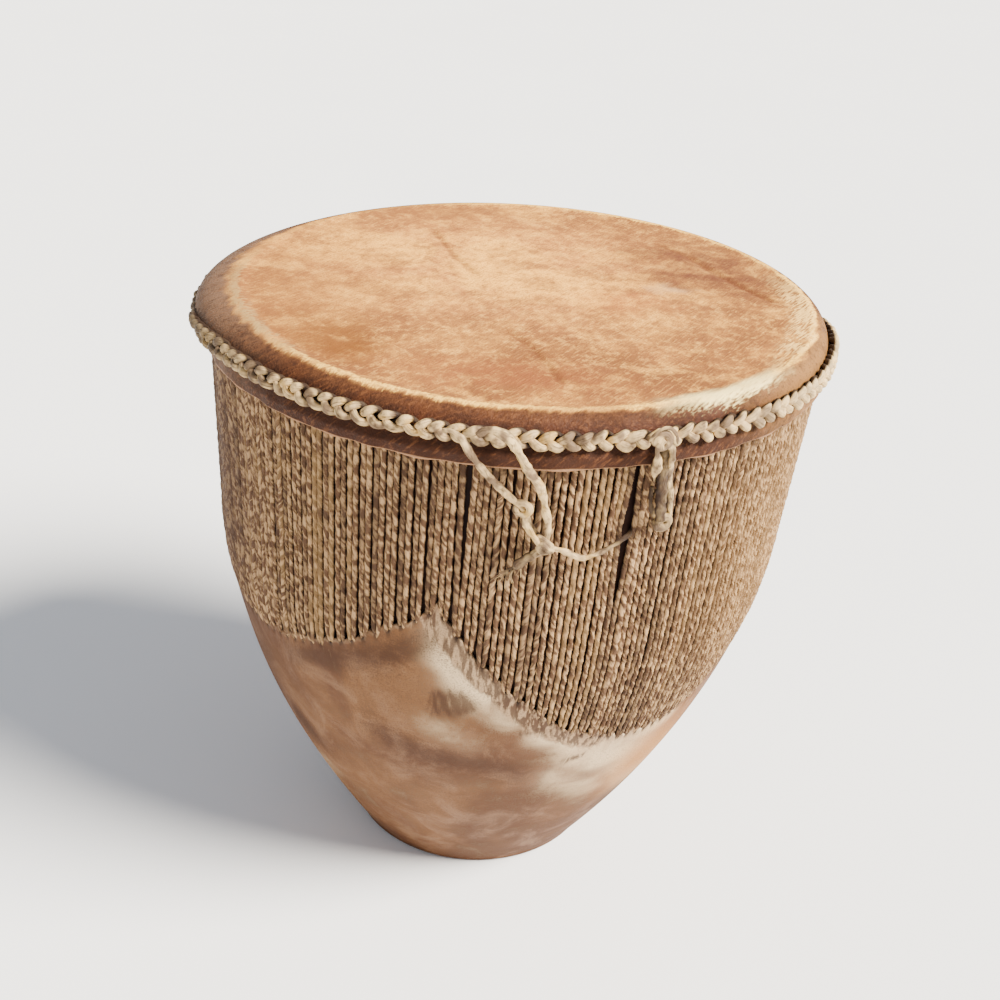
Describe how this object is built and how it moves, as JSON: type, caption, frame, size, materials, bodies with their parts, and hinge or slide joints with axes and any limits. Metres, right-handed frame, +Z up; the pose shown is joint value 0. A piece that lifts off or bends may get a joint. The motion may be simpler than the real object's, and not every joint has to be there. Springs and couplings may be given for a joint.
{
  "type": "ceremonial ritual drum",
  "caption": "Conical wooden drum with a hide head, a folded base hide, side lacing, a plaited band under the rim and loose knotted thongs.",
  "frame": {"origin": "centre of the flat underside that the drum stands on", "axes": "+Z up through the drum to its head, -Y towards the side with the loose thongs, +X to the right seen from that side"},
  "size_m": [0.4558, 0.4635, 0.4502],
  "materials": {
    "wood": "bare carved hardwood",
    "head_hide": "scraped hide with short hair, worn at the rim",
    "base_hide": "hair-on hide, pinkish tan with cream patches",
    "lacing": "twisted hide strips, dry and dusty",
    "braid": "plaited hide strips, pale",
    "thongs": "twisted hide thong, pale"
  },
  "bodies": {
    "root": {"shell": "wood", "head_skin": "head_hide", "base_skin": "base_hide", "lacing": "lacing", "braid": "braid", "thong_left": "thongs", "thong_middle": "thongs", "thong_tail": "thongs", "thong_right": "thongs", "thong_sag": "thongs", "knot_upper": "thongs", "knot_lower": "thongs", "tie_hitch": "thongs", "tie_long": "thongs", "tie_knot": "thongs", "tie_back": "thongs", "tie_short": "thongs"}
  },
  "joints": []
}
